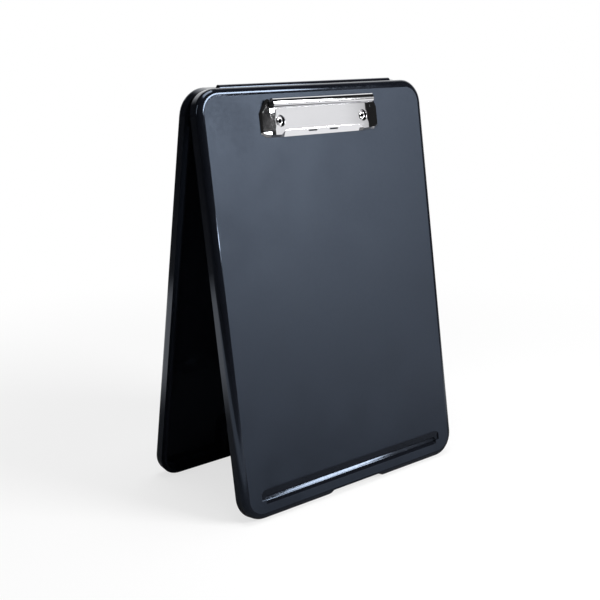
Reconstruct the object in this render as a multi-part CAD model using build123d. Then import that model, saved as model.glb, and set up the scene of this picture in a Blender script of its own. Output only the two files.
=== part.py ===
"""Storage clipboard box that stands open as an A-frame.

The two halves are drawn in the frame of the closed box and are then tilted about the hinge.
In that frame x runs across the box, z is square to the parting plane with the front cover on
the positive side, and v is the distance down the box from the hinge axis, so y is minus v.
On the standing box z is up, the hinge lies above the origin and the front cover faces -y.
Lengths are in millimetres and angles in degrees.
"""
from build123d import *
import math
import os

os.makedirs("parts", exist_ok=True)

# ---- Driving dimensions: the two halves ----
case_width = 237.0
case_height = 335.0
cover_depth = 11.0
tray_depth = 11.0
lean_angle = 9.65           # each half from upright
corner_radius = 20.0
edge_round = 5.0            # outer edge of both halves
skin = 2.0                  # large faces
cover_wall = 2.2
tray_wall = 4.0
rim_gap = 0.2               # between the closed rims
end_gap = 0.2               # top ends from the hinge axis, so the box can lie flat open
fine_gap = 0.3              # between pieces that pass each other

# ---- Driving dimensions: the tongue round the tray's rim ----
tongue_height = 3.0
tongue_thickness = 1.5
tongue_top = 27.0           # v at which the side tongues start

# ---- Driving dimensions: hinge ----
knuckle_radius = 2.8
hinge_half_length = 90.0
centre_knuckle_half = 79.8
hinge_rod_radius = 1.0
press_clearance = 0.03
running_clearance = 0.06
hinge_land_drop = 4.8       # extra wall beside the hinge
hinge_land_depth = 6.0

# ---- Driving dimensions: pen groove in the cover ----
groove_half_length = 97.0
groove_rise = 18.2          # upper edge above the bottom edge
groove_width = 6.2
groove_depth = 3.8          # at the upper wall
groove_floor_tilt = 20.0    # the floor faces upwards
groove_wall_run = 1.9       # of the sloping lower wall
groove_upper_round = 2.7
groove_lower_round = 1.2
groove_skin = 1.6
band_half_length = 101.0
band_width = 6.0
band_depth = 1.1

# ---- Driving dimensions: finger notch and latch ----
notch_depth = 3.5
notch_half_width = 27.3
notch_slope = 3.0
notch_round = 7.0           # outer corners
notch_inner_round = 1.0
notch_block_half = 41.0
notch_wall = 2.3
latch_half_width = 17.5
latch_thickness = 2.0
latch_front_gap = 0.4       # between the cover's skin and the latch's pad
latch_setback = 0.4         # latch behind the notch's edge
latch_pin_radius = 0.75
latch_pin_seat = 3.0
latch_pin_height = 3.0
latch_boss_radius = 1.9
latch_hook_reach = 6.2      # below the parting plane
latch_barb = 1.6
latch_barb_height = 2.0
catch_grip = 1.1            # how far the catch reaches over the barb
catch_height = 2.4
catch_land = 3.3
leaf_thickness = 0.25
leaf_width = 8.0
leaf_foot = 2.6

# ---- Driving dimensions: housing round the catch in the tray ----
housing_half_width = 50.0
housing_height = 35.0       # up from the bottom edge
housing_wall = 1.8
housing_drop = 1.0          # its rim below the parting plane
housing_radius = 3.0

# ---- Driving dimensions: clip ----
sheet = 0.9
barrel_axis_v = 14.5
barrel_radius = 3.7
barrel_half_length = 53.0
barrel_end_wall = 1.8
barrel_end_recess = 0.8
clip_rod_radius = 1.25
clip_rod_inset = 0.5
base_half_width = 50.0
base_top = 11.5
base_bottom = 33.5
ear_x = 46.0
ear_neck = 3.2
ear_wall = 0.5              # metal round the rod's hole beyond the sheet
jaw_half_width = 62.7
jaw_flat_half = 53.0
jaw_plate_rise = 2.9        # top of the plate above the cover
jaw_plate_start = 1.9       # from the barrel's axis, clear of the ears
jaw_wing_drop = 1.8
jaw_shoulder_v = 22.5
jaw_side_bottom = 37.4
jaw_fold_v = 35.7
jaw_lip_v = 40.6
jaw_lip_height = 0.3
jaw_corner_half = 57.0
grip_slot_length = 9.0
grip_slot_width = 1.3
grip_slot_x = 11.2
rivet_x = 43.9
rivet_v = 28.2
rivet_hole_radius = 1.5
rivet_shank_radius = 2.0
rivet_head_radius = 3.4
rivet_head_height = 1.3     # in front
rivet_back_height = 0.9
rivet_clearance = 0.05
jaw_window_radius = 5.2
washer_radius = 4.8
washer_thickness = 0.8

# ---- Driving dimensions: clip spring ----
spring_wire = 0.8
spring_mean_radius = 2.05
spring_turns = 7
spring_pitch = 1.35
spring_base_angle = 40.0
spring_jaw_angle = 40.0
spring_base_leg = 3.2
spring_jaw_leg = 1.7

# ---- Sizes that follow ----
half_width = case_width / 2
half_rim_gap = rim_gap / 2
cover_inside = cover_depth - skin
tray_inside = tray_depth - skin
hinge_height = case_height * math.cos(math.radians(lean_angle)) - half_rim_gap * math.sin(
    math.radians(lean_angle))
tongue_inset = cover_wall + fine_gap
notch_v = case_height - notch_depth
latch_outer_v = notch_v - latch_setback
latch_inner_v = latch_outer_v - latch_thickness
latch_pin_v = (latch_outer_v + latch_inner_v) / 2
pocket_half_width = latch_half_width + fine_gap
barb_tip_v = latch_inner_v - latch_barb
barb_top_z = -latch_hook_reach + latch_barb_height
catch_lip_v = barb_tip_v + catch_grip
catch_floor_z = barb_top_z + fine_gap
catch_top_z = catch_floor_z + catch_height
groove_top = case_height - groove_rise
groove_bottom = groove_top + groove_width
band_top = groove_top - band_width
groove_block_bottom = groove_bottom + groove_skin
barrel_height = cover_depth + sheet + fine_gap + barrel_radius
barrel_bore = barrel_radius - sheet
base_face = cover_depth + sheet
jaw_plate_top = cover_depth + jaw_plate_rise
jaw_start_v = barrel_axis_v + jaw_plate_start
jaw_lip_z = cover_depth + jaw_lip_height
washer_face = cover_inside - washer_thickness


def place_cover(shape):
    """Tilt a shape of the closed box into the leaning front cover."""
    return Location((0, 0, hinge_height), (90 - lean_angle, 0, 0)) * shape


def place_tray(shape):
    """Tilt a shape of the closed box into the leaning rear tray."""
    return Location((0, 0, hinge_height), (90 + lean_angle, 0, 0)) * shape


def block(x_span, v_span, z_span):
    """A box between two values each of x, v and z."""
    width = x_span[1] - x_span[0]
    length = v_span[1] - v_span[0]
    height = z_span[1] - z_span[0]
    middle = (x_span[0] + width / 2, -v_span[0] - length / 2, z_span[0] + height / 2)
    return Pos(*middle) * Box(width, length, height)


def cross_cylinder(radius, x_span, v, z):
    """A cylinder along x between two values of x."""
    length = x_span[1] - x_span[0]
    return Pos(x_span[0] + length / 2, -v, z) * Rot(0, 90, 0) * Cylinder(radius, length)


def cross_profile(points, x_span):
    """A polygon of (v, z) points drawn out along x between two values of x."""
    outline = [(-v, z) for v, z in points]
    face = make_face(Polyline(*outline, close=True))
    length = x_span[1] - x_span[0]
    return Pos(x_span[0], 0, 0) * extrude(Plane.YZ * face, length)


def both_sides(shape):
    """A shape and its mirror image across the middle of the box."""
    return [shape, mirror(shape, about=Plane.YZ)]


def panel(inset):
    """Rounded outline of the box, drawn in by an inset."""
    width = case_width - 2 * inset
    height = case_height - end_gap - 2 * inset
    middle_v = (case_height + end_gap) / 2
    return Pos(0, -middle_v) * RectangleRounded(width, height, corner_radius - inset)


def half_blank(depth):
    """Solid half of the box above the parting plane, its outer edge rounded."""
    blank = Pos(0, 0, half_rim_gap) * extrude(panel(0), depth - half_rim_gap)
    outer_edge = blank.faces().sort_by(Axis.Z)[-1].edges()
    return fillet(outer_edge, edge_round)


def half_hollow(wall, depth):
    """The space inside a half of the box, rounded where the walls meet the skin."""
    hollow = extrude(panel(wall), depth - skin)
    inner_edge = hollow.faces().sort_by(Axis.Z)[-1].edges()
    return fillet(inner_edge, edge_round - skin)


def finger_notch(depth):
    """Cutter for the shallow finger notch in the bottom edge, with rounded shoulders."""
    outside = case_height + 0.05
    shoulder = notch_half_width + notch_slope
    run_out = shoulder + 2 * notch_round
    below = -outside - notch_depth
    outline = make_face(Polyline(
        (-run_out, -outside),
        (-shoulder, -outside),
        (-notch_half_width, -notch_v),
        (notch_half_width, -notch_v),
        (shoulder, -outside),
        (run_out, -outside),
        (run_out, below),
        (-run_out, below),
        close=True,
    ))
    shoulders = [v for v in outline.vertices() if abs(abs(v.X) - shoulder) < 0.01]
    outline = fillet(shoulders, notch_round)
    inner = [v for v in outline.vertices() if abs(v.Y + notch_v) < 0.01]
    outline = fillet(inner, notch_inner_round)
    return extrude(outline, depth + tongue_height)


def hinge_land(wall):
    """Thicker wall beside the hinge, left standing in the hollow of each half."""
    half_length = hinge_half_length + fine_gap
    return block((-half_length, half_length), (0, wall + hinge_land_drop), (0, hinge_land_depth))


def knuckle(x_span):
    """One hinge knuckle round the hinge axis."""
    return cross_cylinder(knuckle_radius, x_span, 0, 0)


def knuckle_room(x_span):
    """Cutter that clears another half's knuckle."""
    wider = (x_span[0] - fine_gap, x_span[1] + fine_gap)
    return cross_cylinder(knuckle_radius + fine_gap, wider, 0, 0)


def pen_groove():
    """Cutter for the pen groove: a sloping band that runs into a slot with a tilted floor."""
    middle_v = groove_top + groove_width / 2
    slot_face = Pos(0, -middle_v) * SlotOverall(2 * groove_half_length, groove_width)
    deep_z = cover_depth - groove_depth
    wall_v = groove_bottom - groove_wall_run
    wall_z = deep_z + (wall_v - groove_top) * math.tan(math.radians(groove_floor_tilt))
    steep = (cover_depth - wall_z) / groove_wall_run
    over = groove_depth / 2
    profile = make_face(Polyline(
        (-groove_top, cover_depth + over),
        (-groove_top, deep_z),
        (-wall_v, wall_z),
        (-groove_bottom - over / steep, cover_depth + over),
        close=True,
    ))
    profile = fillet([v for v in profile.vertices() if abs(v.Y - deep_z) < 0.01],
                     groove_upper_round)
    profile = fillet([v for v in profile.vertices() if abs(v.Y - wall_z) < 0.01],
                     groove_lower_round)
    length = 2 * groove_half_length
    trough = Pos(-groove_half_length, 0, 0) * extrude(Plane.YZ * profile, length)
    slot = trough & extrude(slot_face, 2 * cover_depth)
    band_points = [
        (band_top, cover_depth),
        (groove_top, cover_depth - band_depth),
        (groove_top + groove_width / 2, cover_depth - band_depth),
        (groove_top + groove_width / 2, cover_depth + band_depth),
        (band_top, cover_depth + band_depth),
    ]
    end = groove_half_length - groove_width / 2
    band = cross_profile(band_points, (-band_half_length, band_half_length))
    keep = block((-end, end), (band_top, groove_bottom), (0, 2 * cover_depth))
    corner_v = groove_top + groove_width / 2
    for x in (-end, end):
        keep += Pos(x, -corner_v, cover_depth) * Cylinder(corner_v - band_top, 2 * cover_depth)
    return slot + (band & keep)


def cover_hollow():
    """The space inside the cover, less the lands for the hinge, the groove and the notch."""
    hollow = half_hollow(cover_wall, cover_depth) - hinge_land(cover_wall)
    groove_block_x = groove_half_length + groove_skin
    groove_block_z = cover_depth - groove_depth - groove_skin
    hollow -= block(
        (-groove_block_x, groove_block_x),
        (groove_top - groove_skin, groove_block_bottom),
        (groove_block_z, cover_depth),
    )
    hollow -= block(
        (-notch_block_half, notch_block_half),
        (notch_v - notch_wall, case_height),
        (0, cover_depth),
    )
    return hollow


def front_cover():
    """Front half with the clip's rivet holes, the pen groove, the notch and the end knuckles."""
    cover = half_blank(cover_depth) - cover_hollow()
    cover -= pen_groove()
    cover -= finger_notch(cover_depth)
    cover -= block(
        (-pocket_half_width, pocket_half_width),
        (groove_block_bottom, case_height),
        (0, cover_inside),
    )
    pin_reach = latch_half_width + latch_pin_seat
    cheek = block(
        (pocket_half_width, pin_reach + notch_wall),
        (groove_block_bottom, notch_v),
        (half_rim_gap, cover_inside),
    )
    cover += both_sides(cheek)
    pin_hole = latch_pin_radius + press_clearance
    cover -= cross_cylinder(pin_hole, (-pin_reach, pin_reach), latch_pin_v, latch_pin_height)
    cover -= knuckle_room((-centre_knuckle_half, centre_knuckle_half))
    end_knuckle = knuckle((centre_knuckle_half + fine_gap, hinge_half_length))
    cover += both_sides(end_knuckle)
    bore = hinge_rod_radius + running_clearance
    cover -= cross_cylinder(bore, (-hinge_half_length, hinge_half_length), 0, 0)
    for x in (-rivet_x, rivet_x):
        hole = Cylinder(rivet_shank_radius + rivet_clearance, 4 * skin)
        cover -= Pos(x, -rivet_v, cover_depth - skin) * hole
    return cover


def tongue():
    """Low tongue that stands on the tray's rim and enters the cover when the box is closed."""
    ring = panel(tongue_inset) - panel(tongue_inset + tongue_thickness)
    wall = extrude(ring, tongue_height + half_rim_gap)
    wall = Pos(0, 0, -half_rim_gap) * wall
    top = block((-half_width, half_width), (0, tongue_top), (-1, 2 * tongue_height))
    clear_half = notch_block_half + fine_gap
    latch_clear = block((-clear_half, clear_half), (notch_v - notch_block_half, case_height),
                        (-1, 2 * tongue_height))
    return wall - top - latch_clear


def catch_housing():
    """Low wall round the catch that keeps papers away from the latch."""
    top_v = case_height - housing_height
    middle_v = (top_v + case_height) / 2
    outer = RectangleRounded(2 * housing_half_width, housing_height, housing_radius)
    inner_half = housing_half_width - housing_wall
    inner = RectangleRounded(2 * inner_half, housing_height - 2 * housing_wall,
                             housing_radius - housing_wall)
    wall = Pos(0, -middle_v, housing_drop) * extrude(outer - inner, tray_depth - housing_drop)
    below = block((-half_width, half_width), (case_height - tray_wall, case_height + 1),
                  (-1, tray_depth + 1))
    return wall - below


def rear_tray():
    """Rear half with the tongue, the catch and its housing, and the long centre knuckle."""
    hollow = half_hollow(tray_wall, tray_depth) - hinge_land(tray_wall)
    land_top = catch_lip_v - latch_barb - catch_land
    hollow -= block((-notch_block_half, notch_block_half), (land_top, case_height),
                    (0, tray_depth))
    tray = half_blank(tray_depth) - hollow
    tray -= finger_notch(tray_depth)
    inside = catch_housing() & half_blank(tray_depth)
    tray += inside
    tray = mirror(tray, about=Plane.XY)
    pocket_top = catch_lip_v - latch_barb
    tray -= block((-pocket_half_width, pocket_half_width), (pocket_top, case_height),
                  (-tray_inside, tongue_height))
    tray += block((-pocket_half_width, pocket_half_width), (pocket_top, catch_lip_v),
                  (catch_floor_z, catch_top_z))
    tray += tongue()
    tray -= knuckle_room((centre_knuckle_half, hinge_half_length))
    tray -= knuckle_room((-hinge_half_length, -centre_knuckle_half))
    tray += knuckle((-centre_knuckle_half, centre_knuckle_half))
    bore = hinge_rod_radius + press_clearance
    tray -= cross_cylinder(bore, (-hinge_half_length, hinge_half_length), 0, 0)
    return tray


def hinge_rod():
    """Steel rod through all the knuckles."""
    half_length = hinge_half_length - fine_gap
    return cross_cylinder(hinge_rod_radius, (-half_length, half_length), 0, 0)


def latch_tab():
    """Rocking latch behind the notch: a finger pad above the pin and a barbed hook below it."""
    x_span = (-latch_half_width, latch_half_width)
    pad_top = cover_inside - latch_front_gap
    tab = block(x_span, (latch_inner_v, latch_outer_v), (-latch_hook_reach, pad_top))
    barb = cross_profile(
        [
            (latch_inner_v, barb_top_z),
            (barb_tip_v, barb_top_z),
            (barb_tip_v, barb_top_z - latch_barb_height / 3),
            (latch_inner_v, -latch_hook_reach),
        ],
        x_span,
    )
    boss = cross_cylinder(latch_boss_radius, x_span, latch_pin_v, latch_pin_height)
    boss -= block(x_span, (latch_outer_v, case_height), (-latch_hook_reach, cover_inside))
    tab += [barb, boss]
    hole = latch_pin_radius + running_clearance
    return tab - cross_cylinder(hole, x_span, latch_pin_v, latch_pin_height)


def latch_pin():
    """Steel pin that the latch rocks on, seated in the cover at both ends."""
    reach = latch_half_width + latch_pin_seat - running_clearance
    return cross_cylinder(latch_pin_radius, (-reach, reach), latch_pin_v, latch_pin_height)


def latch_spring():
    """U-shaped leaf that pushes the latch's pad outwards."""
    near_v = groove_block_bottom + running_clearance
    far_v = latch_inner_v - running_clearance
    bend_radius = (far_v - near_v) / 2
    middle_v = (near_v + far_v) / 2
    top_z = cover_inside - latch_front_gap
    bend_z = top_z - leaf_foot
    x_span = (-leaf_width / 2, leaf_width / 2)
    bend = cross_cylinder(bend_radius, x_span, middle_v, bend_z)
    arms = block(x_span, (near_v, far_v), (bend_z, top_z))
    inner_bend = cross_cylinder(bend_radius - leaf_thickness, x_span, middle_v, bend_z)
    between = block(x_span, (near_v + leaf_thickness, far_v - leaf_thickness),
                    (bend_z, top_z))
    return bend + arms - inner_bend - between


def clip_base_plate():
    """Flat steel plate on the cover, with two ears bent up to hold the clip's rod."""
    plate = block((-base_half_width, base_half_width), (base_top, base_bottom),
                  (cover_depth, base_face))
    ear_radius = clip_rod_radius + sheet / 2 + ear_wall
    x_span = (ear_x - sheet / 2, ear_x + sheet / 2)
    ear = cross_cylinder(ear_radius, x_span, barrel_axis_v, barrel_height)
    neck = (barrel_axis_v - ear_neck / 2, barrel_axis_v + ear_neck / 2)
    ear += block(x_span, neck, (base_face, barrel_height))
    plate += both_sides(ear)
    hole = clip_rod_radius + press_clearance
    plate -= cross_cylinder(hole, (-base_half_width, base_half_width), barrel_axis_v,
                            barrel_height)
    for x in (-rivet_x, rivet_x):
        rivet_hole = Cylinder(rivet_shank_radius + rivet_clearance, 4 * sheet)
        plate -= Pos(x, -rivet_v, base_face) * rivet_hole
    return plate


def jaw_form(drop):
    """Solid under the jaw's sheet: flat on top, sloping to both wings and to the lip."""
    top = jaw_plate_top - drop
    wing_run = jaw_half_width - jaw_flat_half
    wing_slope = jaw_wing_drop / wing_run
    far = 2 * jaw_half_width
    wing_z = top - wing_slope * (far - jaw_flat_half)
    floor_z = cover_depth - 4 * jaw_half_width
    hat = [(-far, floor_z), (far, floor_z), (far, wing_z), (jaw_flat_half, top),
           (-jaw_flat_half, top), (-far, wing_z)]
    hat_face = Plane.XZ * make_face(Polyline(*hat, close=True))
    across = extrude(hat_face, 2 * jaw_lip_v)
    lip_slope = (jaw_plate_top - jaw_lip_z) / (jaw_lip_v - jaw_fold_v)
    fold_v = jaw_fold_v - drop * math.tan(math.atan(lip_slope) / 2)
    end_v = fold_v + (top - floor_z) / lip_slope
    along = cross_profile(
        [(jaw_start_v, floor_z), (jaw_start_v, top), (fold_v, top), (end_v, floor_z)],
        (-far, far),
    )
    return across & along


def jaw_outline():
    """Prism over the jaw's outline, seen from the front."""
    right = [
        (barrel_half_length, barrel_axis_v),
        (jaw_half_width, jaw_shoulder_v),
        (jaw_half_width, jaw_side_bottom),
        (jaw_corner_half, jaw_lip_v),
    ]
    left = [(-x, v) for x, v in reversed(right)]
    outline = [(x, -v) for x, v in right + left]
    face = make_face(Polyline(*outline, close=True))
    return Pos(0, 0, jaw_lip_z) * extrude(face, 2 * barrel_radius)


def clip_jaw():
    """Pressed steel jaw: a rolled barrel, a flat plate with windows, two wings and a lip."""
    jaw = (jaw_form(0) & jaw_outline()) - jaw_form(sheet)
    for x in (-rivet_x, rivet_x):
        window = Cylinder(jaw_window_radius, 4 * barrel_radius)
        jaw -= Pos(x, -rivet_v, jaw_plate_top) * window
    for x in (-grip_slot_x, grip_slot_x):
        slot = Box(grip_slot_length, grip_slot_width, 4 * sheet)
        jaw -= Pos(x, -jaw_fold_v, jaw_plate_top) * slot
    full = (-barrel_half_length, barrel_half_length)
    jaw -= cross_cylinder(barrel_radius - sheet / 2, full, barrel_axis_v, barrel_height)
    barrel = cross_cylinder(barrel_radius, full, barrel_axis_v, barrel_height)
    bore_half = barrel_half_length - barrel_end_wall - barrel_end_recess
    barrel -= cross_cylinder(barrel_bore, (-bore_half, bore_half), barrel_axis_v, barrel_height)
    barrel -= cross_cylinder(clip_rod_radius + running_clearance, full, barrel_axis_v,
                             barrel_height)
    recess_start = barrel_half_length - barrel_end_recess
    recess = cross_cylinder(barrel_bore, (recess_start, barrel_half_length), barrel_axis_v,
                            barrel_height)
    barrel -= both_sides(recess)
    low_half_v = (barrel_axis_v - 2 * barrel_radius, barrel_axis_v + barrel_radius)
    low_half_z = (cover_depth, barrel_height - spring_wire / 2)
    ear_room = block((ear_x - sheet / 2 - fine_gap, ear_x + sheet / 2 + fine_gap), low_half_v,
                     low_half_z)
    barrel -= both_sides(ear_room)
    leg_room = spring_turns * spring_pitch / 2 + spring_wire
    barrel -= block((-leg_room, leg_room), low_half_v, low_half_z)
    return jaw + barrel


def clip_rod():
    """Rod through the barrel and the base plate's ears."""
    half_length = barrel_half_length - clip_rod_inset
    return cross_cylinder(clip_rod_radius, (-half_length, half_length), barrel_axis_v,
                          barrel_height)


def clip_rivets():
    """Two hollow rivets that hold the base plate, the cover and the washers together."""
    back_face = washer_face - rivet_back_height
    shank_length = base_face - washer_face
    shank = Pos(0, 0, washer_face + shank_length / 2) * Cylinder(rivet_shank_radius, shank_length)
    front_head = Pos(0, 0, base_face) * Cylinder(
        rivet_head_radius, rivet_head_height, align=(Align.CENTER, Align.CENTER, Align.MIN))
    front_head = fillet(front_head.faces().sort_by(Axis.Z)[-1].edges(), rivet_head_height / 2)
    back_head = Pos(0, 0, back_face) * Cylinder(
        rivet_head_radius, rivet_back_height, align=(Align.CENTER, Align.CENTER, Align.MIN))
    back_head = fillet(back_head.faces().sort_by(Axis.Z)[0].edges(), rivet_back_height / 2)
    rivet = shank + front_head + back_head
    rivet -= Pos(0, 0, cover_depth) * Cylinder(rivet_hole_radius, 2 * cover_depth)
    return [Pos(x, -rivet_v, 0) * rivet for x in (-rivet_x, rivet_x)]


def rivet_washers():
    """Two washers inside the cover under the rivets' rolled ends."""
    ring = Circle(washer_radius) - Circle(rivet_shank_radius + rivet_clearance)
    washer = Pos(0, 0, washer_face) * extrude(ring, washer_thickness)
    return [Pos(x, -rivet_v, 0) * washer for x in (-rivet_x, rivet_x)]


def biarc(start, end, start_tangent, end_tangent):
    """Two tangent arcs from start to end."""
    chord = end - start
    sum_tangent = start_tangent + end_tangent
    a = sum_tangent.dot(sum_tangent) - 4
    b = -2 * chord.dot(sum_tangent)
    c = chord.dot(chord)
    reach = (-b - math.sqrt(b * b - 4 * a * c)) / (2 * a)
    first = start + start_tangent * reach
    last = end - end_tangent * reach
    joint = (first + last) * 0.5
    return [
        TangentArc(start, joint, tangent=start_tangent),
        TangentArc(joint, end, tangent=(last - first).normalized()),
    ]


def clip_spring():
    """Torsion spring round the clip's rod, one leg on the base plate and one in the barrel."""
    turn_angle = 360 * spring_turns + spring_jaw_angle - spring_base_angle
    steps = math.ceil(turn_angle / 90)
    length = turn_angle / 360 * spring_pitch
    rise = spring_pitch / (2 * math.pi * spring_mean_radius)

    def coil_point(angle):
        turned = math.radians(angle)
        x = (angle - spring_base_angle) / 360 * spring_pitch - length / 2
        y = -barrel_axis_v + spring_mean_radius * math.sin(turned)
        z = barrel_height - spring_mean_radius * math.cos(turned)
        return Vector(x, y, z)

    def coil_tangent(angle):
        turned = math.radians(angle)
        return Vector(rise, math.cos(turned), math.sin(turned)).normalized()

    angles = [spring_base_angle + turn_angle * i / steps for i in range(steps + 1)]
    edges = []
    for first, last in zip(angles, angles[1:]):
        edges += biarc(coil_point(first), coil_point(last), coil_tangent(first),
                       coil_tangent(last))
    base_end = coil_point(angles[0]) - coil_tangent(angles[0]) * spring_base_leg
    jaw_end = coil_point(angles[-1]) + coil_tangent(angles[-1]) * spring_jaw_leg
    edges.insert(0, Line(base_end, coil_point(angles[0])))
    edges.append(Line(coil_point(angles[-1]), jaw_end))
    path = Wire(edges)
    section = Plane(origin=base_end, z_dir=coil_tangent(angles[0])) * Circle(spring_wire / 2)
    step = 5
    half_turn = 180 // step
    points = [coil_point(angles[0] + turned) for turned in range(0, int(turn_angle), step)]
    gap = min(
        (points[i] - points[j]).length
        for i in range(len(points))
        for j in range(i + half_turn, len(points))
    ) - spring_wire
    print(f"clip spring: least gap between turns {gap:.2f} mm")
    return sweep(section, path=path)


def write(name, shape):
    """Write one named piece as a STEP file."""
    solids = shape if isinstance(shape, list) else [shape]
    kept = [solid for piece in solids for solid in piece.solids()]
    result = kept[0] if len(kept) == 1 else Compound(children=kept)
    result.label = name
    export_step(result, f"parts/{name}.step")


write("front_cover", place_cover(front_cover()))
write("rear_tray", place_tray(rear_tray()))
write("hinge_rod", place_tray(hinge_rod()))
write("latch_tab", place_cover(latch_tab()))
write("latch_pin", place_cover(latch_pin()))
write("latch_spring", place_cover(latch_spring()))
write("clip_base_plate", place_cover(clip_base_plate()))
write("clip_jaw", place_cover(clip_jaw()))
write("clip_rod", place_cover(clip_rod()))
write("clip_spring", place_cover(clip_spring()))
write("clip_rivets", [place_cover(rivet) for rivet in clip_rivets()])
write("rivet_washers", [place_cover(washer) for washer in rivet_washers()])
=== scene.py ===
"""Looks of a storage clipboard box that stands open as an A-frame.

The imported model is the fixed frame. Its pieces get their finishes here, and the clip's
pressed and rolled pieces are modelled again with the detail that the solids leave out.
Shapes are modelled in the frame of the closed box (x across, y minus the distance v down
from the hinge, z square to the parting plane) and are then tilted with their half.
Every length is in metres and every angle in degrees unless its name says otherwise.
"""
import logging
import math
from contextlib import contextmanager
from dataclasses import dataclass
from enum import Enum
from typing import Callable, Iterator

import bmesh
import bpy
from mathutils import Matrix, Vector


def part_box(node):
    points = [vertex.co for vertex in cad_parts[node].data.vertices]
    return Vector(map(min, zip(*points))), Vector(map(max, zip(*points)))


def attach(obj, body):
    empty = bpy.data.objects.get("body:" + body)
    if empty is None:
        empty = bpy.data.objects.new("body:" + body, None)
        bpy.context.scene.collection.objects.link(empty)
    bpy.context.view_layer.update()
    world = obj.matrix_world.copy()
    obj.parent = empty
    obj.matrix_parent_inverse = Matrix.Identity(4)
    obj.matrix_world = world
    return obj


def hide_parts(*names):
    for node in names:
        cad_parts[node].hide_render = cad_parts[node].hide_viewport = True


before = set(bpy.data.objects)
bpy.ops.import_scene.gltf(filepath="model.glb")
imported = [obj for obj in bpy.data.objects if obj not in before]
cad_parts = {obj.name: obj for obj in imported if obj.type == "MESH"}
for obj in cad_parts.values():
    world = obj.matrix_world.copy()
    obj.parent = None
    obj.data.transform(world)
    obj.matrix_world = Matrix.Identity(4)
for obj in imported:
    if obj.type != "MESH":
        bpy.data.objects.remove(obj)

log = logging.getLogger("clipboard_box")
MM = 0.001
NEAR = 0.01 * MM
SAME_ROW = 0.002 * MM
SAME_POINT = 0.001 * MM
NOISE_RANGE = (0.3, 0.7)
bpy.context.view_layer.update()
Color = tuple[float, float, float]
Socket = bpy.types.NodeSocket


# ---------------------------- the box's own frame
class Half(Enum):
    """The two halves of the box, by the side of the hinge on which they lean."""

    COVER = 1
    TRAY = -1


@dataclass(frozen=True)
class BoxFrame:
    """Places of the closed box, from which each leaning half is reached."""

    lean: float = 9.65
    depth: float = 11 * MM

    @property
    def hinge_height(self) -> float:
        """Height of the hinge axis above the standing surface."""
        low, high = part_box("hinge_rod")
        return (low.z + high.z) / 2

    def tilt(self, half: Half) -> float:
        """Turn about x, in radians, that takes the closed box to a leaning half."""
        return math.radians(90 - half.value * self.lean)

    def matrix(self, half: Half) -> Matrix:
        """Matrix from the closed box's frame to a leaning half."""
        lift = Matrix.Translation((0, 0, self.hinge_height))
        return lift @ Matrix.Rotation(self.tilt(half), 4, "X")


BOX = BoxFrame()


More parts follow.
